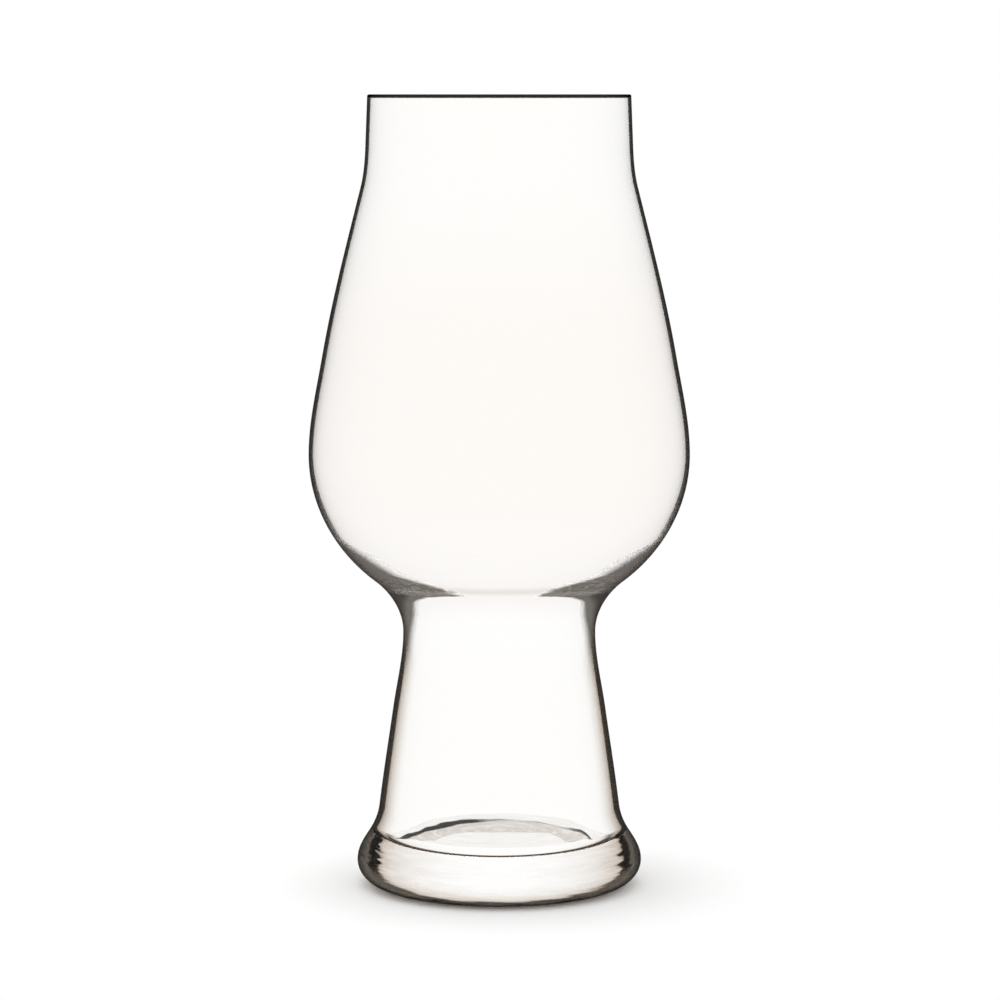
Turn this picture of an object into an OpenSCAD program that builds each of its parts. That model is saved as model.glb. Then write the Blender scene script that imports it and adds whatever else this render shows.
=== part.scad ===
// Tulip beer glass with a hollow stem.
// A short upright collar stands on a tulip bowl, which narrows to an open throat.
// Below it a waisted, hollow stem holds the rest of the drink, over a thick solid foot.
// The origin is the centre of the resting ring, on the table, and +Z is up.
// Every lean is in degrees from upright, and is plus where the glass widens downwards.

/* [Mouth and collar] */
// Height of the glass, from the table to the brim; the flank takes up a change of it
glass_h = 178; // [170:0.5:188]
// Outside diameter at the mouth
mouth_d = 58.7; // [54:0.1:64]
// Lean of the collar's wall
collar_lean = 2.1; // [0:0.1:5]
// Height of the collar, from the mouth down to its foot
collar_h = 10.6; // [6:0.1:16]
// Outside diameter at the foot of the collar
collar_d = 59.5; // [55:0.1:65]
// Thickness of the glass in the collar
collar_wall = 0.8; // [0.6:0.05:1.6]

/* [Bowl] */
// Height of the shoulder's bend, from the foot of the collar down
shoulder_h = 10; // [6:0.1:16]
// Outside diameter at the shoulder
shoulder_d = 61.8; // [57:0.1:67]
// Lean of the wall at the shoulder
shoulder_lean = 14.2; // [8:0.1:20]
// Outside diameter at the foot of the flank
flank_d = 79.3; // [74:0.1:84]
// Lean of the wall at the foot of the flank
flank_lean = 10; // [5:0.1:14]
// Height from the foot of the flank down to the widest ring
belly_h = 22; // [16:0.1:30]
// Outside diameter at the widest ring
belly_d = 85.5; // [82:0.1:92]
// Thickness of the glass in the flank and the belly
bowl_wall = 0.95; // [0.7:0.05:1.8]
// Height from the widest ring down to the haunch, where the wall still is thin
haunch_h = 17.6; // [14:0.1:22]
// Outside diameter at the haunch
haunch_d = 75.4; // [72:0.1:80]
// Lean of the wall at the haunch
haunch_lean = -31.4; // [-40:0.5:-24]
// Thickness of the glass at the haunch
haunch_wall = 1.15; // [0.8:0.05:2]
// Height from the haunch down to the steepest place under the bowl
tuck_h = 10.4; // [8:0.1:13]
// Outside diameter at the steepest place under the bowl
tuck_d = 56.5; // [52:0.1:60]
// Lean of the wall at the steepest place under the bowl
tuck_lean = -53; // [-60:0.5:-45]
// Thickness of the glass at the steepest place under the bowl
tuck_wall = 3.2; // [1.5:0.1:4]
// Lean of the bowl's floor over the steepest place
tuck_floor_lean = -63; // [-68:0.5:-54]

/* [Throat] */
// Height from the steepest place under the bowl down to the throat
throat_h = 4.6; // [4:0.1:6]
// Outside diameter at the throat
throat_d = 47.9; // [46:0.1:50]
// Lean of the outside at the throat
throat_lean = -33; // [-40:0.5:-25]
// Thickness of the glass ring at the throat, measured level
throat_wall = 4.7; // [3:0.1:6]
// Height of the upright bore above the throat
throat_bore_h = 5; // [2:0.1:5.4]
// Radius of the throat's rounded upper edge
throat_edge_r = 1; // [0.6:0.1:1.6]
// Lean of the bowl's floor where it meets the rounded edge
throat_edge_lean = -72; // [-76:0.5:-62]

/* [Stem] */
// Height from the throat down to the waist, the narrowest ring outside
waist_h = 7.3; // [6:0.1:10]
// Outside diameter at the waist
waist_d = 43.3; // [41:0.1:45]
// Thickness of the glass at the waist, measured level
waist_wall = 1.5; // [1:0.05:2.5]
// Lean of the inside at the waist
waist_bore_lean = 8; // [4:0.5:14]
// Height from the waist down to the top of the straight stem
stem_top_h = 17.3; // [12:0.1:22]
// Outside diameter at the top of the straight stem
stem_top_d = 47.9; // [46:0.1:50]
// Lean of the wall at the top of the straight stem
stem_top_lean = 8.2; // [6:0.1:10]
// Thickness of the glass in the stem
stem_wall = 1.15; // [0.9:0.05:2]
// Height of the straight stem
stem_h = 22.3; // [14:0.1:40]
// Outside diameter at the ankle, where the stem starts to flare
ankle_d = 54.3; // [52:0.1:56]
// Lean of the wall at the ankle
ankle_lean = 7; // [5:0.1:10]
// Thickness of the glass at the ankle
ankle_wall = 1.3; // [0.9:0.05:2]

/* [Foot] */
// Height from the ankle down to the joint of the stem and the foot
flare_h = 6.6; // [5:0.1:9]
// Outside diameter at the joint of the stem and the foot
flare_d = 59.5; // [58:0.1:61]
// Lean of the outside at the joint
flare_lean = 34; // [26:0.5:42]
// Thickness that the wall would have at the joint without the well's round corner, measured level
flare_wall = 1.5; // [1:0.05:2.5]
// Lean of the inside above the round corner
flare_bore_lean = 27; // [15:0.5:35]
// Radius of the round corner between the wall and the floor of the well
well_corner_r = 2.4; // [1.8:0.1:3]
// Depth of the sunk ring around the floor of the well, below the joint
well_ring_h = 1.7; // [1.2:0.1:1.8]
// Height of the raised middle of the well's floor over the sunk ring
well_middle_h = 2.1; // [0:0.1:2.4]
// Width of the slope between the sunk ring and the raised middle
well_slope_w = 5; // [3:0.1:8]
// Height from the joint down to the widest ring of the foot
rim_drop_h = 5.8; // [4.5:0.1:8]
// Outside diameter at the widest ring of the foot
rim_d = 64.3; // [62:0.1:68]
// Height of the widest ring of the foot above the table
rim_h = 5.7; // [4.5:0.1:8]
// Outside diameter of the flat ring that the glass rests on
rest_d = 50.7; // [48:0.1:54]
// Width of the flat ring that the glass rests on
rest_w = 1; // [0.6:0.1:2]
// Depth of the hollow underneath, at its edge
hollow_edge_h = 1.5; // [0.8:0.1:2]
// Width of the sloping edge of the hollow underneath
hollow_edge_w = 4.5; // [2:0.1:5]
// Diameter of the round mark that the mould leaves in the hollow
mark_d = 27; // [20:0.5:34]
// Depth of the round mark
mark_h = 0.3; // [0.2:0.05:0.6]
// Width of the mark's sloping edge
mark_edge_w = 0.8; // [0.4:0.1:1.5]

/* [Hidden] */

// Facets of a full turn, and points along each bend of an outline
$fn = 128;
bend_steps = 10;
lip_steps = 8;
// Two leans closer than this, in degrees, are joined by a straight line
straight_turn = 0.5;
glass_colour = [0.84, 0.88, 0.89];
glass_alpha = 0.45;

// Heights above the table, each from the one below it
rim_z = rim_h;
joint_z = rim_z + rim_drop_h;
ankle_z = joint_z + flare_h;
stem_top_z = ankle_z + stem_h;
waist_z = stem_top_z + stem_top_h;
throat_z = waist_z + waist_h;
tuck_z = throat_z + throat_h;
haunch_z = tuck_z + tuck_h;
belly_z = haunch_z + haunch_h;
flank_z = belly_z + belly_h;
// The collar and the shoulder hang from the brim, so the flank fills what is left
collar_z = glass_h - collar_h;
shoulder_z = collar_z - shoulder_h;

// A station is one point of an outline: its radius, its height and the lean there.
// Stations of the outside
lip_r = collar_wall / 2;
mouth_out = [mouth_d / 2, glass_h - lip_r, collar_lean];
collar_out = [collar_d / 2, collar_z, collar_lean];
shoulder_out = [shoulder_d / 2, shoulder_z, shoulder_lean];
flank_out = [flank_d / 2, flank_z, flank_lean];
belly_out = [belly_d / 2, belly_z, 0];
haunch_out = [haunch_d / 2, haunch_z, haunch_lean];
tuck_out = [tuck_d / 2, tuck_z, tuck_lean];
throat_out = [throat_d / 2, throat_z, throat_lean];
waist_out = [waist_d / 2, waist_z, 0];
stem_top_out = [stem_top_d / 2, stem_top_z, stem_top_lean];
ankle_out = [ankle_d / 2, ankle_z, ankle_lean];
flare_out = [flare_d / 2, joint_z, flare_lean];
rim_out = [rim_d / 2, rim_z, 0];
rest_out = [rest_d / 2, 0, -90];

// Stations of the inside, each set in from the outside by the glass there
mouth_in = [mouth_d / 2 - collar_wall, glass_h - lip_r, collar_lean];
collar_in = inset(collar_out, collar_wall);
shoulder_in = inset(shoulder_out, collar_wall);
flank_in = inset(flank_out, bowl_wall);
belly_in = inset(belly_out, bowl_wall);
haunch_in = inset(haunch_out, haunch_wall);
tuck_in = turned(inset(tuck_out, tuck_wall), tuck_floor_lean);
throat_in = [throat_d / 2 - throat_wall, throat_z, 0];
bore_top_in = [throat_in[0], throat_z + throat_bore_h, 0];
throat_edge_in = inset([bore_top_in[0] + throat_edge_r, bore_top_in[1], throat_edge_lean], throat_edge_r);
waist_in = [waist_d / 2 - waist_wall, waist_z, waist_bore_lean];
stem_top_in = inset(stem_top_out, stem_wall);
ankle_in = inset(ankle_out, ankle_wall);

// Stations of the well: the top of its round corner, the joint, the sunk ring and the raised middle
well_ring_z = joint_z - well_ring_h;
well_wall_r = flare_d / 2 - flare_wall + well_ring_h * tan(flare_bore_lean);
well_ring_r = well_wall_r - well_corner_r * (1 / cos(flare_bore_lean) + tan(flare_bore_lean));
corner_z = well_ring_z + well_corner_r;
corner_in = [
    well_ring_r + well_corner_r * cos(flare_bore_lean),
    corner_z + well_corner_r * sin(flare_bore_lean),
    flare_bore_lean
];
joint_lean = asin((joint_z - corner_z) / well_corner_r);
joint_in = [well_ring_r + well_corner_r * cos(joint_lean), joint_z, joint_lean];
well_ring_in = [well_ring_r, well_ring_z, -90];
well_middle_in = [well_ring_r - well_slope_w, well_ring_z + well_middle_h, -90];

// Radii of the underside, from the resting ring in to the round mark
rest_in_r = rest_d / 2 - rest_w;
hollow_r = rest_in_r - hollow_edge_w;
mark_r = mark_d / 2;
mark_in_r = mark_r - mark_edge_w;

// The station moved square to the outline, towards the axis, by a thickness of glass
function inset(station, wall) =
    [station[0] - wall * cos(station[2]), station[1] - wall * sin(station[2]), station[2]];

// The station with another lean
function turned(station, lean) = [station[0], station[1], lean];

// Length of a curve's handle as a share of its chord, which makes an even bend an arc
function handle_share(turn) = turn < straight_turn ? 1 / 3 : 4 / 3 * tan(turn / 4) / (2 * sin(turn / 2));

// Point on the curve through four guide points, at a share of the way along it
function curve_point(p, share) =
    let (left = 1 - share)
    pow(left, 3) * p[0] + 3 * share * pow(left, 2) * p[1]
        + 3 * pow(share, 2) * left * p[2] + pow(share, 3) * p[3];

// Points from one station down to the next, leaving and arriving at their leans
function bend(upper, lower) =
    let (
        start = [upper[0], upper[1]],
        end = [lower[0], lower[1]],
        reach = norm(end - start) * handle_share(abs(lower[2] - upper[2])),
        leave = start + reach * [sin(upper[2]), -cos(upper[2])],
        arrive = end - reach * [sin(lower[2]), -cos(lower[2])]
    )
    [for (i = [0 : bend_steps]) curve_point([start, leave, arrive, end], i / bend_steps)];

// Points of a whole outline through its stations, with each joint given once
function outline(stations) =
    concat(
        [[stations[0][0], stations[0][1]]],
        [for (i = [1 : len(stations) - 1]) let (run = bend(stations[i - 1], stations[i]))
            for (k = [1 : bend_steps]) run[k]]
    );

function backwards(points) = [for (i = [len(points) - 1 : -1 : 0]) points[i]];

// Points over the half-round lip, from the inside to the outside
function lip_arc() =
    [for (i = [1 : lip_steps - 1]) let (turn = 180 - 180 * i / lip_steps)
        [mouth_out[0] - lip_r + lip_r * cos(turn), mouth_out[1] + lip_r * sin(turn)]];

module glass_ring(points) {
    color(glass_colour, glass_alpha)
        rotate_extrude()
            polygon(points);
}

// Collar, shoulder and belly, down to the throat
module bowl() {
    outside = outline([mouth_out, collar_out, shoulder_out, flank_out, belly_out, haunch_out,
        tuck_out, throat_out]);
    inside = outline([mouth_in, collar_in, shoulder_in, flank_in, belly_in, haunch_in,
        tuck_in, throat_edge_in, bore_top_in, throat_in]);
    glass_ring(concat(outside, backwards(inside), lip_arc()));
}

// Hollow stem, from the throat down to the joint, within the round corner of the well
module hollow_stem() {
    outside = outline([throat_out, waist_out, stem_top_out, ankle_out, flare_out]);
    inside = outline([throat_in, waist_in, stem_top_in, ankle_in, corner_in, joint_in]);
    glass_ring(concat(outside, backwards(inside)));
}

// Solid foot: its top is the floor of the well, and a shallow hollow lies under it
module foot() {
    outside = outline([flare_out, rim_out, rest_out]);
    well = outline([joint_in, well_ring_in, well_middle_in]);
    underside = [
        [rest_in_r, 0],
        [hollow_r, hollow_edge_h],
        [mark_r, hollow_edge_h],
        [mark_in_r, hollow_edge_h + mark_h],
        [0, hollow_edge_h + mark_h]
    ];
    glass_ring(concat(outside, underside, [[0, well_middle_in[1]]], backwards(well)));
}

bowl();
hollow_stem();
foot();
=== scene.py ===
import math

import bmesh
import bpy
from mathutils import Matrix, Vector, noise


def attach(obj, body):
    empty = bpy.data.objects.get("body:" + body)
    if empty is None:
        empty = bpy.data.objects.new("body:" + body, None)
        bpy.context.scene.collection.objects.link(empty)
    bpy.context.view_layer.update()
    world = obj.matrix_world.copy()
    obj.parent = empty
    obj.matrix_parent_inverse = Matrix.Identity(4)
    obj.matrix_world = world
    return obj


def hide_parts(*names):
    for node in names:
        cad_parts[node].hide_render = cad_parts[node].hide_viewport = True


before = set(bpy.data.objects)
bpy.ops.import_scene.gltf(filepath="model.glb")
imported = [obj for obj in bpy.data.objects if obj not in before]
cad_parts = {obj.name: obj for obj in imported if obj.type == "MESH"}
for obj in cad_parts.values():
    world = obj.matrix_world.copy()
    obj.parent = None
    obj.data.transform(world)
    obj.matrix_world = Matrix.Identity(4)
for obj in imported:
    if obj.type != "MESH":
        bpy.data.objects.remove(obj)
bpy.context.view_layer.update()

MM = 0.001

# stations of the outline, each (radius, height, lean in degrees), in millimetres, as in the part's source
MOUTH = (29.35, 177.6, 2.1)
COLLAR = (29.75, 167.4, 2.1)
SHOULDER = (30.9, 157.4, 14.2)
FLANK = (39.65, 119.6, 10)
BELLY = (42.75, 97.6, 0)
HAUNCH = (37.7, 80, -31.4)
TUCK = (28.25, 69.6, -53)
THROAT = (23.95, 65, -33)
WAIST = (21.65, 57.7, 0)
STEM_TOP = (23.95, 40.4, 8.2)
ANKLE = (27.15, 18.1, 7)
FLARE = (29.75, 11.5, 34)
RIM = (32.15, 5.7, 0)
REST = (25.35, 0, -90)

# walls, bore, well and hollow, in millimetres and degrees
COLLAR_WALL = 0.8
BOWL_WALL = 0.95
HAUNCH_WALL = 1.15
TUCK_WALL = 3.2
TUCK_FLOOR_LEAN = -63
BORE_R = 19.25
BORE_TOP_Z = 70.0
EDGE_R = 1.0
EDGE_LEAN = -72
WAIST_WALL = 1.5
WAIST_BORE_LEAN = 8
STEM_WALL = 1.15
ANKLE_WALL = 1.3
FLARE_WALL = 1.5
WELL_LEAN = 27
WELL_CORNER_R = 2.4
WELL_FLOOR_Z = 9.8
WELL_MIDDLE_H = 2.1
WELL_SLOPE_W = 5.0
WELL_TOP_Z = WELL_FLOOR_Z + WELL_MIDDLE_H
REST_W = 1.0
HOLLOW_H = 1.5
HOLLOW_W = 4.5
MARK_R = 13.5
MARK_H = 0.3
MARK_W = 0.8

# steps of the mesh, the turn in radians up to which a bend counts as straight, and the axis's reach
SIDES = 360
BEND_STEPS = 20
LIP_STEPS = 12
CORNER_STEPS = 20
WELL_SLOPE_STEPS = 24
WELL_RINGS = 36
HOLLOW_STEPS = 12
HOLLOW_RINGS = 6
MARK_STEPS = 6
MARK_RINGS = 8
STRAIGHT_TURN = 0.01
ON_AXIS = 1e-6

# slight waves on the well's floor and underneath: lengths in millimetres, UNDER_WAVE and UNDER_DRIFT
# as shares of the radius, UNDER_LIFT as a share of WELL_WAVE; TOUCH is the slack of a height's test
WAVE_LENGTH = 4.5
WELL_FLAT_R = 25.0
WELL_WAVE = 0.12
WELL_WAVE_FADE = 3
UNDER_WAVE_FADE = 2
UNDER_WAVE = 0.10
UNDER_GRAIN = 1.6
UNDER_PITCH = 30
UNDER_DRIFT = 0.05
UNDER_DRIFT_TURN = math.radians(-20)
UNDER_LIFT = 0.4
UNDER_LIFT_GRAIN = 0.8
TOUCH = 0.001


def inset(station, wall):
    """The station moved square to the outline, towards the axis."""
    lean = math.radians(station[2])
    return station[0] - wall * math.cos(lean), station[1] - wall * math.sin(lean), station[2]


def bend(upper, lower, steps=BEND_STEPS):
    """Points from one station down to the next, on a curve that is an arc where it can be."""
    (r0, z0, a0), (r1, z1, a1) = upper, lower
    a0, a1 = math.radians(a0), math.radians(a1)
    turn = abs(a1 - a0)
    share = 1 / 3 if turn < STRAIGHT_TURN else 4 / 3 * math.tan(turn / 4) / (2 * math.sin(turn / 2))
    reach = math.hypot(r1 - r0, z1 - z0) * share
    guides = ((r0, z0), (r0 + math.sin(a0) * reach, z0 - math.cos(a0) * reach),
              (r1 - math.sin(a1) * reach, z1 + math.cos(a1) * reach), (r1, z1))
    points = []
    for i in range(steps + 1):
        t = i / steps
        u = 1 - t
        weights = (u ** 3, 3 * u * u * t, 3 * u * t * t, t ** 3)
        points.append(tuple(sum(w * g[k] for w, g in zip(weights, guides)) for k in (0, 1)))
    return points


def outline(stations):
    """Points through all the stations, from the first down to the last."""
    points = [stations[0][:2]]
    for upper, lower in zip(stations, stations[1:]):
        points += bend(upper, lower)[1:]
    return points


def arc(centre, radius, start, end, steps):
    """Points on an arc from one lean to another, both left out."""
    points = []
    for i in range(1, steps):
        a = math.radians(start + (end - start) * i / steps)
        points.append((centre[0] + radius * math.cos(a), centre[1] + radius * math.sin(a)))
    return points


def smooth_step(r0, z0, r1, z1, steps):
    """Points on a soft step, level at both ends, with the first left out."""
    points = []
    for i in range(1, steps + 1):
        t = i / steps
        points.append((r0 + (r1 - r0) * t, z0 + (z1 - z0) * t * t * (3 - 2 * t)))
    return points


def outer_profile():
    """The outside, from the lip down to the resting ring."""
    return outline([MOUTH, COLLAR, SHOULDER, FLANK, BELLY, HAUNCH, TUCK, THROAT, WAIST,
                    STEM_TOP, ANKLE, FLARE, RIM, REST])


def inner_profile():
    """The inside, from the lip down to the middle of the well's floor."""
    tuck = inset(TUCK, TUCK_WALL)
    edge = inset((BORE_R + EDGE_R, BORE_TOP_Z, EDGE_LEAN), EDGE_R)
    # the round corner of the well touches the wall and the floor
    lean = math.radians(WELL_LEAN)
    slope = math.tan(lean)
    wall_r = FLARE[0] - FLARE_WALL + (FLARE[1] - WELL_FLOOR_Z) * slope
    corner_r = wall_r - WELL_CORNER_R * (1 / math.cos(lean) + slope)
    corner_z = WELL_FLOOR_Z + WELL_CORNER_R
    corner = (corner_r + WELL_CORNER_R * math.cos(lean), corner_z + WELL_CORNER_R * math.sin(lean), WELL_LEAN)
    points = outline([(MOUTH[0] - COLLAR_WALL, MOUTH[1], MOUTH[2]), inset(COLLAR, COLLAR_WALL),
                      inset(SHOULDER, COLLAR_WALL), inset(FLANK, BOWL_WALL), inset(BELLY, BOWL_WALL),
                      inset(HAUNCH, HAUNCH_WALL), (tuck[0], tuck[1], TUCK_FLOOR_LEAN), edge,
                      (BORE_R, BORE_TOP_Z, 0), (BORE_R, THROAT[1], 0),
                      (WAIST[0] - WAIST_WALL, WAIST[1], WAIST_BORE_LEAN),
                      inset(STEM_TOP, STEM_WALL), inset(ANKLE, ANKLE_WALL), corner])
    middle_r = corner_r - WELL_SLOPE_W
    points += arc((corner_r, corner_z), WELL_CORNER_R, WELL_LEAN, -90, CORNER_STEPS)
    points += smooth_step(corner_r, WELL_FLOOR_Z, middle_r, WELL_TOP_Z, WELL_SLOPE_STEPS)
    points += [(middle_r * k / WELL_RINGS, WELL_TOP_Z) for k in range(WELL_RINGS - 1, -1, -1)]
    return points


def under_profile():
    """The underside, from the resting ring in to the axis: the hollow and the round mark in it."""
    rest_in = REST[0] - REST_W
    hollow_r = rest_in - HOLLOW_W
    mark_in = MARK_R - MARK_W
    mark_z = HOLLOW_H + MARK_H
    points = [(rest_in, 0)]
    points += smooth_step(rest_in, 0, hollow_r, HOLLOW_H, HOLLOW_STEPS)
    points += [(hollow_r + (MARK_R - hollow_r) * k / HOLLOW_RINGS, HOLLOW_H)
               for k in range(1, HOLLOW_RINGS + 1)]
    points += smooth_step(MARK_R, HOLLOW_H, mark_in, mark_z, MARK_STEPS)
    points += [(mark_in * k / MARK_RINGS, mark_z) for k in range(MARK_RINGS - 1, -1, -1)]
    return points


def glass_profile():
    """The whole skin as one run of points: up the inside, over the lip, down the outside, in underneath."""
    lip_r = COLLAR_WALL / 2
    lip = arc((MOUTH[0] - lip_r, MOUTH[1]), lip_r, 180, 0, LIP_STEPS)
    return inner_profile()[::-1] + lip + outer_profile() + under_profile()


def ripple(r, z, turn):
    """The point's radius and height, with the slight waves of the foot's two flat sides."""
    if z > WELL_TOP_Z + TOUCH:
        return r, z
    flat = Vector((r * math.cos(turn), r * math.sin(turn), 0)) / WAVE_LENGTH
    if z > WELL_FLOOR_Z - TOUCH and r < WELL_FLAT_R:
        return r, z + WELL_WAVE * noise.noise(flat) * min(1, (WELL_FLAT_R - r) / WELL_WAVE_FADE)
    rest_in = REST[0] - REST_W
    if z <= HOLLOW_H + MARK_H and r < rest_in:
        share = min(1, (rest_in - r) / UNDER_WAVE_FADE)
        around = Vector((math.cos(turn), math.sin(turn), r / UNDER_PITCH)) * UNDER_GRAIN
        drift = UNDER_WAVE * noise.noise(around) - UNDER_DRIFT * (1 + math.cos(turn - UNDER_DRIFT_TURN)) / 2
        lift = WELL_WAVE * UNDER_LIFT * noise.noise(flat * UNDER_LIFT_GRAIN)
        return r * (1 + drift * share), z + lift * share * min(1, z)
    return r, z


def lathe(name, points, sides):
    """A closed, smooth mesh: the points turned about the axis, where the first and last lie on it."""
    verts, faces, rings = [], [], []
    for r, z in points:
        if r < ON_AXIS:
            rings.append([len(verts)])
            verts.append((0, 0, z * MM))
            continue
        rings.append(range(len(verts), len(verts) + sides))
        for k in range(sides):
            a = 2 * math.pi * k / sides
            wr, wz = ripple(r, z, a)
            verts.append((wr * MM * math.cos(a), wr * MM * math.sin(a), wz * MM))
    for above, below in zip(rings, rings[1:]):
        for k in range(sides):
            n = (k + 1) % sides
            if len(above) == 1:
                faces.append((above[0], below[k], below[n]))
            elif len(below) == 1:
                faces.append((above[k], below[0], above[n]))
            else:
                faces.append((above[k], below[k], below[n], above[n]))
    mesh = bpy.data.meshes.new(name)
    mesh.from_pydata(verts, [], faces)
    bm = bmesh.new()
    bm.from_mesh(mesh)
    bmesh.ops.recalc_face_normals(bm, faces=bm.faces)
    if bm.calc_volume(signed=True) < 0:
        bmesh.ops.reverse_faces(bm, faces=bm.faces)
    bm.to_mesh(mesh)
    bm.free()
    mesh.shade_smooth()
    piece = bpy.data.objects.new(name, mesh)
    bpy.context.scene.collection.objects.link(piece)
    return piece


# helpers for the shaders
WHITE = (1.0, 1.0, 1.0, 1.0)
BLACK = (0.0, 0.0, 0.0, 1.0)
OUTER_MIRROR = 0.03


class Graph:
    """Adds shader nodes to a tree, with sockets, numbers or colours as inputs."""

    def __init__(self, tree):
        self.tree = tree
        tree.nodes.clear()

    def add(self, kind, **settings):
        node = self.tree.nodes.new("ShaderNode" + kind)
        for key, value in settings.items():
            setattr(node, key, value)
        return node

    def put(self, socket, value):
        if isinstance(value, (int, float, tuple)):
            socket.default_value = value
        else:
            self.tree.links.new(value, socket)

    def math(self, op, *values):
        node = self.add("Math", operation=op)
        for socket, value in zip(node.inputs, values):
            self.put(socket, value)
        return node.outputs[0]

    def times(self, first, *others):
        for other in others:
            first = self.math("MULTIPLY", first, other)
        return first

    def plus(self, first, *others):
        for other in others:
            first = self.math("ADD", first, other)
        return first

    def less(self, value, other):
        """The value less the other."""
        return self.math("SUBTRACT", value, other)

    def rest(self, share):
        """What a share leaves of one."""
        return self.less(1.0, share)

    def most(self, first, *others):
        for other in others:
            first = self.math("MAXIMUM", first, other)
        return first

    def above(self, value, limit):
        """1 where the value is over the limit, else 0."""
        return self.math("GREATER_THAN", value, limit)

    def below(self, value, limit):
        """1 where the value is under the limit, else 0."""
        return self.math("LESS_THAN", value, limit)

    def fewer(self, count, limit):
        """1 while a whole count is less than the limit."""
        return self.below(count, limit - 0.5)

    def no_fewer(self, count, limit):
        """1 once a whole count has reached the limit."""
        return self.above(count, limit - 0.5)

    def distance(self, a, b):
        """The length of a level vector from its two parts."""
        return self.math("SQRT", self.plus(self.times(a, a), self.times(b, b)))

    def ramp(self, value, low, high, at_low=0.0, at_high=1.0, kind="SMOOTHSTEP"):
        node = self.add("MapRange", interpolation_type=kind)
        for key, v in (("Value", value), ("From Min", low), ("From Max", high),
                       ("To Min", at_low), ("To Max", at_high)):
            self.put(node.inputs[key], v)
        return node.outputs[0]

    def window(self, value, rise_from, rise_to, fall_from, fall_to):
        """0, then a soft rise to 1, then a soft fall back to 0."""
        rise = self.ramp(value, rise_from, rise_to)
        return self.times(rise, self.ramp(value, fall_from, fall_to, 1.0, 0.0))

    def curve(self, value, stops):
        """A broken line through (value, result) stops, level beyond both ends."""
        total = stops[0][1]
        for (x0, y0), (x1, y1) in zip(stops, stops[1:]):
            total = self.plus(total, self.ramp(value, x0, x1, 0.0, y1 - y0, kind="LINEAR"))
        return total

    def mix(self, low, high, factor):
        """A number between two."""
        node = self.add("Mix", data_type="FLOAT")
        for k, v in ((0, factor), (2, low), (3, high)):
            self.put(node.inputs[k], v)
        return node.outputs[0]

    def blend(self, low, high, factor, kind="MIX"):
        """A colour between two, or one colour worked on another."""
        node = self.add("Mix", data_type="RGBA", blend_type=kind)
        for k, v in ((0, factor), (6, low), (7, high)):
            self.put(node.inputs[k], v)
        return node.outputs[2]

    def grey(self, level):
        node = self.add("CombineColor")
        for socket in node.inputs:
            self.put(socket, level)
        return node.outputs[0]

    def split(self, vector):
        node = self.add("SeparateXYZ")
        self.put(node.inputs[0], vector)
        return node.outputs

    def vector(self, *parts):
        node = self.add("CombineXYZ")
        for socket, part in zip(node.inputs, parts):
            self.put(socket, part)
        return node.outputs[0]

    def noise(self, vector, scale, detail):
        node = self.add("TexNoise")
        for key, v in (("Vector", vector), ("Scale", scale), ("Detail", detail)):
            self.put(node.inputs[key], v)
        return node.outputs[0]

    def squareness(self, normal=None):
        """How squarely the ray meets the skin, or a face with the given normal: 0 along it, 1 square on."""
        node = self.add("LayerWeight")
        if normal is not None:
            self.put(node.inputs["Normal"], normal)
        return self.rest(node.outputs["Facing"])

    def swing(self, value):
        """Noise as a swing to both sides of 0."""
        return self.less(value, 0.5)

    def mirrored(self):
        """The studio's white, 1, but dark where a first outside surface mirrors it."""
        path = self.add("LightPath").outputs
        outer = self.times(self.no_fewer(path["Glossy Depth"], 1), self.fewer(path["Transmission Depth"], 1))
        return self.mix(1.0, OUTER_MIRROR, outer)


# settings of the masks: heights and radii in millimetres, the rest are shares and noise settings;
# four values are a ramp, its ends and the results there, or the rise and fall of a window;
# INNER_SKIN_R lies between the two skins, and a limit is the side from which the skin is painted dark, as
# trapped light would show
IOR = 1.51
NOISE_DETAIL = 3.0
NEAR_AXIS = 0.1
INNER_SKIN_R = ((11.5, 29.0), (18, 26.5), (40, 23.4), (48, 22.0), (57.7, 20.9), (62, 21.0), (65, 21.5),
                (68, 22.8), (70, 25.0), (72, 28.6), (75, 32.5), (80, 37.0), (84, 39.4), (92, 41.6))
BOWL_SKIN_Z = 82.0
TOTAL_FROM = 0.995
NEARLY = (0.1, 0.9)
NEARLY_SHARE = 0.6
CRINKLE_SCALE = 420.0
CRINKLE = 0.14
CRINKLE_Z = (70.3, 70.8, 71.4, 73.0)
BORE_LIMIT = ((68.0, 0.63), (69.4, 0.60), (70.3, 0.54))
BORE_SOFT = (-0.03, 0.045)
BORE_Z = (46, 56)
BOWL_LIMIT = ((70.3, 0.54), (70.9, 0.40), (71.1, 0.24), (71.9, 0.28), (74.0, 0.465), (80, 0.585))
BOWL_SOFT_Z = (71, 74)
BOWL_SOFT_LOW = (0.0, 0.06)
BOWL_SOFT_HIGH = (-0.03, 0.09)
BORE_END_Z = BORE_TOP_Z - 0.1
BORE_EDGE_Z = BORE_TOP_Z + 1.1
CREASE_FROM_R = WELL_FLAT_R - 0.5
CREASE_TOP_Z = WELL_FLOOR_Z + 1.5 * WELL_CORNER_R
CREASE_SQUARE = (0.63, 0.68, 0.79, 0.85)
CREASE_SIDE = (0.58, 0.64, 1.0, 0.12)
LIP_Z = (MOUTH[1] - 0.50, MOUTH[1] - 0.25)
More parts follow.
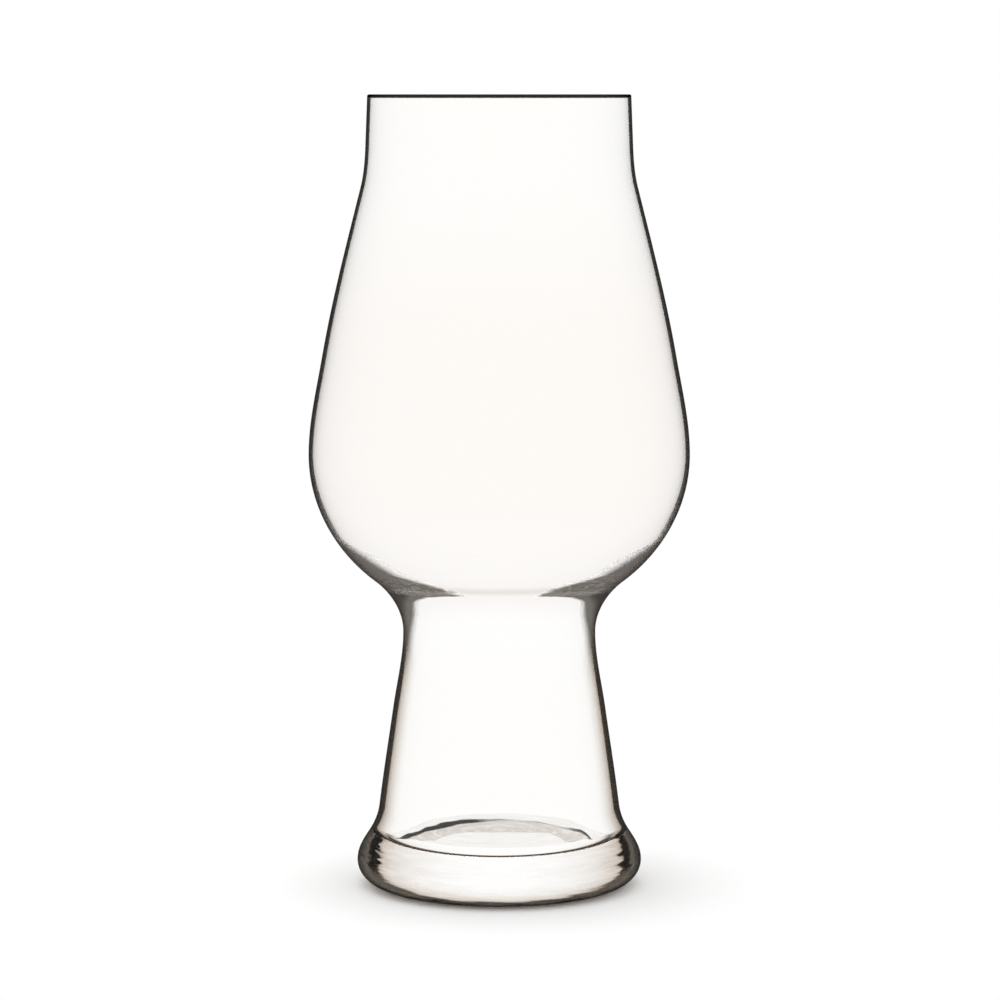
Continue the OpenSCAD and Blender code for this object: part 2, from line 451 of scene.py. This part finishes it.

# painted shade on the well's floor, placed from how the photograph shows it: each stop is x and the
# value there, and for LINE_Y and ROUND_Y that is how far back from the axis the line lies, in millimetres
WELL_SHADE_SQUARE = (0.26, 0.33, 1.0, 0.0)
WELL_SHADE_FROM_Z = WELL_FLOOR_Z - 0.2
WELL_SHADE_TO_Z = WELL_TOP_Z + 0.6
SPUN_SPREAD = 1.6
SPUN_PITCH = 0.8
SPUN_DETAIL = 4.0
SPUN_RANGE = (0.3, 0.7)
WOBBLE = 1.2
LINE_Y = ((-24, -4.7), (-20.2, -4.5), (-18.6, -2.6), (-16.9, 2.2), (-13.5, 6.2), (-9, 10.1), (0, 13.1),
          (9.4, 10.1), (13.9, 5.3), (18.6, 0.6), (19.5, -2.9), (20.4, -8.2), (22.6, -11))
LINE_W = ((-24, 1.4), (-20, 3.6), (-13, 4.2), (-6, 3.0), (0, 1.6), (14, 1.1), (19, 3.4), (22.6, 1.2))
LINE_STRENGTH = ((-6, 0.955), (0, 0.5), (4, 0.25), (13, 0.35), (18, 0.9))
LINE_SOFT = (0.5, 1.0, 1.0, 0.0)
LINE_SIDE = (-0.6, 0.6, 1.0, 0.0)
ROUND_Y = ((-17.5, -11), (-14.3, -11), (-12.9, -6.4), (-10.2, -2.3), (-6.6, -1), (10.8, -1.2),
           (12.6, -4.7), (14, -8.4), (14.5, -12), (17.8, -15), (20.2, -15.8))
ROUND_SOFT = (0.3, 1.1, 1.0, 0.0)
ROUND_STRENGTH = 0.5
ROUND_ENDS = (8.0, 12.0, 0.3, 1.0)
ROUND_SIDE = (-0.8, 0.8)
FLAT_GREY = (0.70, 0.40)
FLOOR_GREY = (0.48, 0.26)

# colours of the painted shade
DEEP_STEM = (0.110, 0.101, 0.091, 1.0)
DEEP_BOWL = (0.036, 0.033, 0.029, 1.0)
DEEP_Z = (46, 90)
RING_GREY = (0.185, 0.174, 0.160, 1.0)
RING_Z = (50, 62, 78, 90)
RING_SIDE = ((67, 0.735), (75, 0.665))
RING_SOFT = (-0.045, 0.045, 1.0, 0.0)
FOLD_PAINTED_LIGHT = (0.50, 0.485, 0.465, 1.0)
FOLD_SHARE = 0.6
FOLD_PITCH = 0.16
FOLD_SCALE = 6.0
FOLD_W = (0.0, 0.035, 1.0, 0.0)
FOLD_Z = (70.6, 71.0, 72.0, 74.5)
SHADE_GREY = (0.50, 0.43, 0.375, 1.0)
CREASE_SHADE = (0.105, 0.080, 0.060, 1.0)
LIP_SHADE = (0.90, 0.84, 0.74, 1.0)
PLAIN_SQUARE = (0.12, 0.42)

# tints of the skin: the painted shade where it is seen at a slant, and its slight colour
BOWL_EDGE_FROM = 0.10
BOWL_EDGE_TO = (155, 168, 0.34, 0.24)
BOWL_EDGE_LEFT = 0.80
STEM_EDGE = (0.14, 0.58, 0.36, 1.0)
WAIST_EDGE = (0.10, 0.33, 0.35, 1.0)
WAIST_EDGE_Z = (50, 60)
BOWL_Z = (55, 75)
FOOT_Z = (WELL_TOP_Z + 0.5, WELL_TOP_Z + 2.5)
STREAK_GRAIN = 160.0
STREAK_RISE = 1.5
STREAKS = 0.24
STREAK_SQUARE = (0.25, 0.45)
FOOT_BULGE = ((5.3, -0.02), (6.6, -0.01), (7.7, -0.045), (9.0, -0.015), (10.5, 0.04), (12.7, 0.06))
FOOT_EDGE = ((0.0, 0.02), (0.12, 0.04), (0.22, 0.08), (0.34, 0.14), (0.40, 0.11), (0.47, 0.11),
             (0.54, 0.62), (0.64, 0.78), (0.8, 0.91), (0.95, 1.0))
CORE_Z = (4.8, 6.8, 12.6, 14.2)
CORE_SLANT = (0.34, 0.39, 0.49, 0.51)
CORE_LEFT = 0.18
FOOT_LOW = (0.0, 2.4, 0.3, 1.0)
THROAT_Z = (69.0, 70.2, 70.2, 71.8)
THROAT_LEFT = 0.88
WARM_EDGE = (0.5, 1.0, 1.0, 0.0)
WARM = (1.0, 0.757, 0.548, 1.0)
LOWER_BOWL_Z = (62, 70, 122, 160)
HAUNCH_Z = (62, 70, 78, 92)
BACK_TONE = (0.997, 0.995, 0.988, 1.0)
BACK_BOWL_TONE = (0.996, 0.984, 0.970, 1.0)
FRONT_TONE = (1.0, 0.990, 0.970, 1.0)
FRONT_BOWL_TONE = (0.985, 0.950, 0.925, 1.0)
FRONT_HAUNCH_TONE = (0.975, 0.930, 0.890, 1.0)
CLEAR_Z = (48, 58, 78, 92)
CLEAR_DARK = (0.0, 0.3, 1.0, 0.0)


class Meeting:
    """Where a ray meets the glass and how: sockets that the masks and tints share."""

    def __init__(self, g):
        self.path = g.add("LightPath").outputs
        geometry = g.add("NewGeometry").outputs
        self.place = geometry["Position"]
        self.x, self.y, up = g.split(self.place)
        self.radius = g.times(g.distance(self.x, self.y), 1 / MM)
        self.z = g.times(up, 1 / MM)
        self.inside = geometry["Backfacing"]
        self.outside = g.rest(self.inside)
        self.first = g.fewer(self.path["Glossy Depth"], 1)
        self.entering = g.fewer(self.path["Transmission Depth"], 1)
        self.above_foot = g.above(self.z, WELL_TOP_Z)
        self.inner_skin = g.below(self.radius, g.curve(self.z, INNER_SKIN_R))
        # side is 0 for a ray in a plane through the axis and 1 for one that runs round it
        level = g.add("VectorMath", operation="NORMALIZE")
        g.put(level.inputs[0], g.vector(g.times(self.y, -1.0), self.x))
        self.side = g.squareness(level.outputs[0])
        self.square = g.squareness()

    def spun(self, g, spread, pitch, scale, detail):
        """Noise with the same grain all the way round the axis."""
        reach = g.most(self.radius, NEAR_AXIS)
        turn = [g.math("DIVIDE", g.times(part, spread / MM), reach) for part in (self.x, self.y)]
        return g.noise(g.vector(*turn, g.times(self.radius, pitch)), scale, detail)


def trapped_light(g, at):
    """Painted shade where a wall is seen edge on: where light would be kept between its two faces, the wall
    is painted dark.
    """
    fresnel = g.add("Fresnel")
    g.put(fresnel.inputs["IOR"], IOR)
    total = g.times(g.above(fresnel.outputs[0], TOTAL_FROM), at.inside)
    nearly = g.times(g.ramp(fresnel.outputs[0], *NEARLY), NEARLY_SHARE, at.inside)
    bore_edge = g.times(g.above(at.z, BORE_END_Z), g.below(at.z, BORE_EDGE_Z))
    # the crinkle is noise on the edge of this painted shade
    crinkle = g.swing(g.noise(at.place, CRINKLE_SCALE, NOISE_DETAIL))
    limit = g.plus(g.curve(at.z, BOWL_LIMIT), g.times(crinkle, CRINKLE, g.window(at.z, *CRINKLE_Z)))
    soft = [g.ramp(at.z, *BOWL_SOFT_Z, low, high) for low, high in zip(BOWL_SOFT_LOW, BOWL_SOFT_HIGH)]
    bowl = g.times(g.most(total, nearly, bore_edge), g.ramp(g.less(at.side, limit), *soft))
    bore = g.ramp(g.less(at.side, g.curve(at.z, BORE_LIMIT)), *BORE_SOFT)
    in_bore = g.times(g.ramp(at.z, *BORE_Z), g.below(at.z, BORE_END_Z))
    return g.times(g.mix(bowl, bore, in_bore), at.inside, at.above_foot, at.first,
                   g.most(at.inner_skin, g.above(at.z, BOWL_SKIN_Z)))


def well_crease_shade(g, at):
    """Painted shade: the dark line in the round corner of the well."""
    return g.times(g.above(at.radius, CREASE_FROM_R), at.inner_skin, at.inside, at.first,
                   g.above(at.z, WELL_FLOOR_Z), g.below(at.z, CREASE_TOP_Z),
                   g.window(at.square, *CREASE_SQUARE), g.ramp(at.side, *CREASE_SIDE))


def well_floor_shade(g, at):
    """Painted shade on the well's floor, seen through the front at a slant: its region, grey shade and dark
    line.
    """
    region = g.times(at.outside, at.first, at.inner_skin, g.ramp(at.square, *WELL_SHADE_SQUARE),
                     g.no_fewer(at.path["Transmission Depth"], 2),
                     g.below(at.z, WELL_SHADE_TO_Z), g.above(at.z, WELL_SHADE_FROM_Z))
    spun = at.spun(g, SPUN_SPREAD, SPUN_PITCH, 1.0, SPUN_DETAIL)
    x = g.times(at.x, 1 / MM)
    y = g.plus(g.times(at.y, 1 / MM), g.times(g.swing(spun), WOBBLE))
    behind_line = g.less(y, g.curve(x, LINE_Y))
    behind_round = g.less(y, g.curve(x, ROUND_Y))
    width = g.math("DIVIDE", g.math("ABSOLUTE", behind_line), g.curve(x, LINE_W))
    line = g.times(g.ramp(width, *LINE_SOFT), g.curve(x, LINE_STRENGTH))
    round_line = g.times(g.ramp(g.math("ABSOLUTE", behind_round), *ROUND_SOFT), ROUND_STRENGTH,
                         g.ramp(g.math("ABSOLUTE", x), *ROUND_ENDS))
    flat = g.times(g.ramp(behind_round, *ROUND_SIDE), g.ramp(behind_line, *LINE_SIDE),
                   g.ramp(spun, *SPUN_RANGE, *FLAT_GREY))
    grey_shade = g.plus(flat, round_line, g.ramp(spun, *SPUN_RANGE, *FLOOR_GREY))
    return region, g.times(grey_shade, region), g.times(line, region)


def dark_colour(g, at, region, shade_lines, lip):
    """The colour of the painted shade: deepest at the very edge, paler in the thick ring at the throat."""
    outermost = g.less(at.side, g.curve(at.z, RING_SIDE))
    ring = g.times(g.window(at.z, *RING_Z), g.ramp(outermost, *RING_SOFT))
    colour = g.blend(g.blend(DEEP_STEM, DEEP_BOWL, g.ramp(at.z, *DEEP_Z)), RING_GREY, ring)
    # painted light: pale fold-like streaks in the painted shade of the thick glass, where the bowl's floor
    # turns down into the stem
    fold_noise = at.spun(g, 1.0, FOLD_PITCH, FOLD_SCALE, NOISE_DETAIL)
    fold_painted_light = g.times(g.ramp(g.math("ABSOLUTE", g.swing(fold_noise)), *FOLD_W), g.window(at.z, *FOLD_Z))
    colour = g.blend(colour, FOLD_PAINTED_LIGHT, g.times(fold_painted_light, FOLD_SHARE))
    colour = g.blend(colour, SHADE_GREY, region)
    colour = g.blend(colour, CREASE_SHADE, shade_lines)
    return g.blend(colour, LIP_SHADE, lip)


def foot_edge(g, at):
    """Painted shade of the thick foot: dark where it is seen at a slant, with a black core and ragged
    streaks.
    """
    grain = g.vector(g.times(at.x, STREAK_GRAIN), g.times(at.y, STREAK_GRAIN), g.times(at.z, STREAK_RISE))
    wander = g.times(g.swing(g.noise(grain, 1.0, NOISE_DETAIL)), STREAKS)
    slant = g.plus(at.square, g.times(wander, g.ramp(at.square, *STREAK_SQUARE)), g.curve(at.z, FOOT_BULGE))
    core = g.times(g.window(at.z, *CORE_Z), g.window(slant, *CORE_SLANT))
    return g.times(g.curve(slant, FOOT_EDGE), g.mix(1.0, CORE_LEFT, core), g.ramp(at.z, *FOOT_LOW))


def skin_colour(g, at):
    """The tint of the clear skin, with painted shade: darker at a slant, most round the foot, and warm where
    it is dark.
    """
    bowl = g.ramp(at.square, BOWL_EDGE_FROM, g.ramp(at.z, *BOWL_EDGE_TO), BOWL_EDGE_LEFT)
    stem = g.mix(g.ramp(at.square, *STEM_EDGE), g.ramp(at.square, *WAIST_EDGE), g.ramp(at.z, *WAIST_EDGE_Z))
    edge = g.mix(stem, bowl, g.ramp(at.z, *BOWL_Z))
    edge = g.mix(foot_edge(g, at), edge, g.ramp(at.z, *FOOT_Z))
    # a painted shade line round the throat
    edge = g.times(edge, g.mix(1.0, THROAT_LEFT, g.window(at.z, *THROAT_Z)))
    edge = g.mix(1.0, g.mix(edge, 1.0, at.inside), at.entering)
    warmth = g.blend(WHITE, WARM, g.ramp(edge, *WARM_EDGE, kind="LINEAR"))
    lower_bowl = g.window(at.z, *LOWER_BOWL_Z)
    back = g.blend(BACK_TONE, BACK_BOWL_TONE, lower_bowl)
    front = g.blend(FRONT_TONE, FRONT_BOWL_TONE, lower_bowl)
    front = g.blend(front, FRONT_HAUNCH_TONE, g.window(at.z, *HAUNCH_Z))
    tone = g.blend(back, front, at.entering)
    # refraction takes the square root of this colour, so the edge goes in squared
    skin = g.blend(tone, g.grey(g.times(edge, edge)), 1.0, "MULTIPLY")
    return g.blend(skin, warmth, 1.0, "MULTIPLY")


def solidity(g, at, dark):
    """How solid the skin is to a ray. Where it isn't, the ray goes straight on.

    Light that was mirrored goes straight on, but in the foot only after a second mirroring or skin.
    So does light that leaves the thick ring at the throat by its inner skin, and all that did so before.
    """
    clear = g.times(at.inside, at.inner_skin, g.window(at.z, *CLEAR_Z), g.ramp(dark, *CLEAR_DARK))
    in_foot = g.times(g.fewer(at.path["Glossy Depth"], 2), g.fewer(at.path["Transmission Depth"], 2))
    solid = g.mix(g.most(at.first, in_foot), at.first, at.above_foot)
    return g.times(solid, g.rest(clear), g.fewer(at.path["Transparent Depth"], 1))


def glass_material():
    """Clear glass with painted shade: dark edges, the crease and floor shade of the well, and the dark line
    of the lip.
    """
    mat = bpy.data.materials.new("clear_glass")
    mat.use_nodes = True
    g = Graph(mat.node_tree)
    out = g.add("OutputMaterial")
    shader = g.add("BsdfPrincipled")
    at = Meeting(g)
    region, grey_shade, line = well_floor_shade(g, at)
    # the dark line of the lip is painted shade
    lip = g.ramp(at.z, *LIP_Z)
    # painted shade lines: the well's round corner and the dark line on its floor
    shade_lines = g.most(well_crease_shade(g, at), line)
    dark = g.most(trapped_light(g, at), grey_shade, shade_lines, lip)
    colour = dark_colour(g, at, region, shade_lines, lip)
    # seen square on, the first skin mirrors next to nothing
    plain = g.most(shade_lines, lip, g.times(at.entering, at.outside, g.ramp(at.square, *PLAIN_SQUARE)))
    g.put(shader.inputs["Transmission Weight"], 1.0)
    g.put(shader.inputs["Roughness"], 0.0)
    g.put(shader.inputs["IOR"], IOR)
    g.put(shader.inputs["Specular Tint"], g.blend(WHITE, BLACK, plain))
    g.put(shader.inputs["Base Color"], g.blend(skin_colour(g, at), colour, dark))
    g.put(shader.inputs["Metallic"], dark)
    g.put(shader.inputs["Alpha"], solidity(g, at, dark))
    g.put(out.inputs[0], shader.outputs[0])
    return mat


glass = lathe("glass_body", glass_profile(), SIDES)
glass.data.materials.append(glass_material())
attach(glass, "root")
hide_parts("bowl", "hollow_stem", "foot")

# floor, sky, light and camera, in metres
FLOOR_HALF = 3.0
FLOOR_Z = -0.02 * MM
FLOOR_WHITE = (0.98, 0.98, 0.98, 1.0)
SHADOW_FROM, SHADOW_TO = 0.035, 0.105
LAMP_SIZE = 1.6
LAMP_WATTS = 6.0
LAMP_AT = (-0.2, 0.1, 1.8)
LAMP_TURN = (math.radians(-3), math.radians(-6), 0)
LENS = 135.32
SENSOR_W = 36
CAMERA_AT = (0.00017, -0.840, 0.178)
CAMERA_TURN = (math.radians(90 - 6.16), 0, 0)


def floor_piece():
    """A plain pale floor, which keeps the shadow close to the glass and runs into the sky away from it."""
    mesh = bpy.data.meshes.new("floor")
    corners = ((-1, -1), (1, -1), (1, 1), (-1, 1))
    mesh.from_pydata([(FLOOR_HALF * x, FLOOR_HALF * y, FLOOR_Z) for x, y in corners], [], [(0, 1, 2, 3)])
    piece = bpy.data.objects.new("floor", mesh)
    bpy.context.scene.collection.objects.link(piece)
    mat = bpy.data.materials.new("floor")
    mat.use_nodes = True
    g = Graph(mat.node_tree)
    out = g.add("OutputMaterial")
    diffuse = g.add("BsdfDiffuse")
    g.put(diffuse.inputs["Color"], FLOOR_WHITE)
    # through the glass and in its reflections the floor is as white as the sky
    glow = g.add("Emission")
    g.put(glow.inputs["Strength"], g.mirrored())
    x, y, z = g.split(g.add("NewGeometry").outputs["Position"])
    near = g.ramp(g.distance(x, y), SHADOW_FROM, SHADOW_TO, 1.0, 0.0)
    both = g.add("MixShader")
    g.put(both.inputs[0], g.times(g.add("LightPath").outputs["Is Camera Ray"], near))
    g.put(both.inputs[1], glow.outputs[0])
    g.put(both.inputs[2], diffuse.outputs[0])
    g.put(out.inputs[0], both.outputs[0])
    mesh.materials.append(mat)


def sky():
    """White all round. What a first outside surface mirrors is dark, so the glass keeps clean edges."""
    world = bpy.data.worlds.new("studio")
    bpy.context.scene.world = world
    world.use_nodes = True
    g = Graph(world.node_tree)
    out = g.add("OutputWorld")
    light = g.add("Background")
    path = g.add("LightPath").outputs
    white = g.mix(g.mirrored(), 1.0, path["Is Diffuse Ray"])
    g.put(light.inputs["Strength"], g.mix(white, 1.0, path["Is Camera Ray"]))
    g.put(light.inputs["Color"], WHITE)
    g.put(out.inputs[0], light.outputs[0])


def lamp():
    """A large soft light overhead, which gives the floor its faint shadow."""
    light = bpy.data.lights.new("overhead", "AREA")
    light.shape = "DISK"
    light.size = LAMP_SIZE
    light.energy = LAMP_WATTS
    piece = bpy.data.objects.new("overhead", light)
    piece.location = LAMP_AT
    piece.rotation_euler = LAMP_TURN
    piece.visible_camera = False
    piece.visible_glossy = False
    piece.visible_transmission = False
    bpy.context.scene.collection.objects.link(piece)


def camera():
    """The photograph's camera, fitted to the outline."""
    data = bpy.data.cameras.new("camera")
    data.lens = LENS
    data.sensor_width = SENSOR_W
    piece = bpy.data.objects.new("camera", data)
    piece.location = CAMERA_AT
    piece.rotation_euler = CAMERA_TURN
    bpy.context.scene.collection.objects.link(piece)
    bpy.context.scene.camera = piece


floor_piece()
sky()
lamp()
camera()
bpy.context.scene.view_settings.view_transform = "Standard"
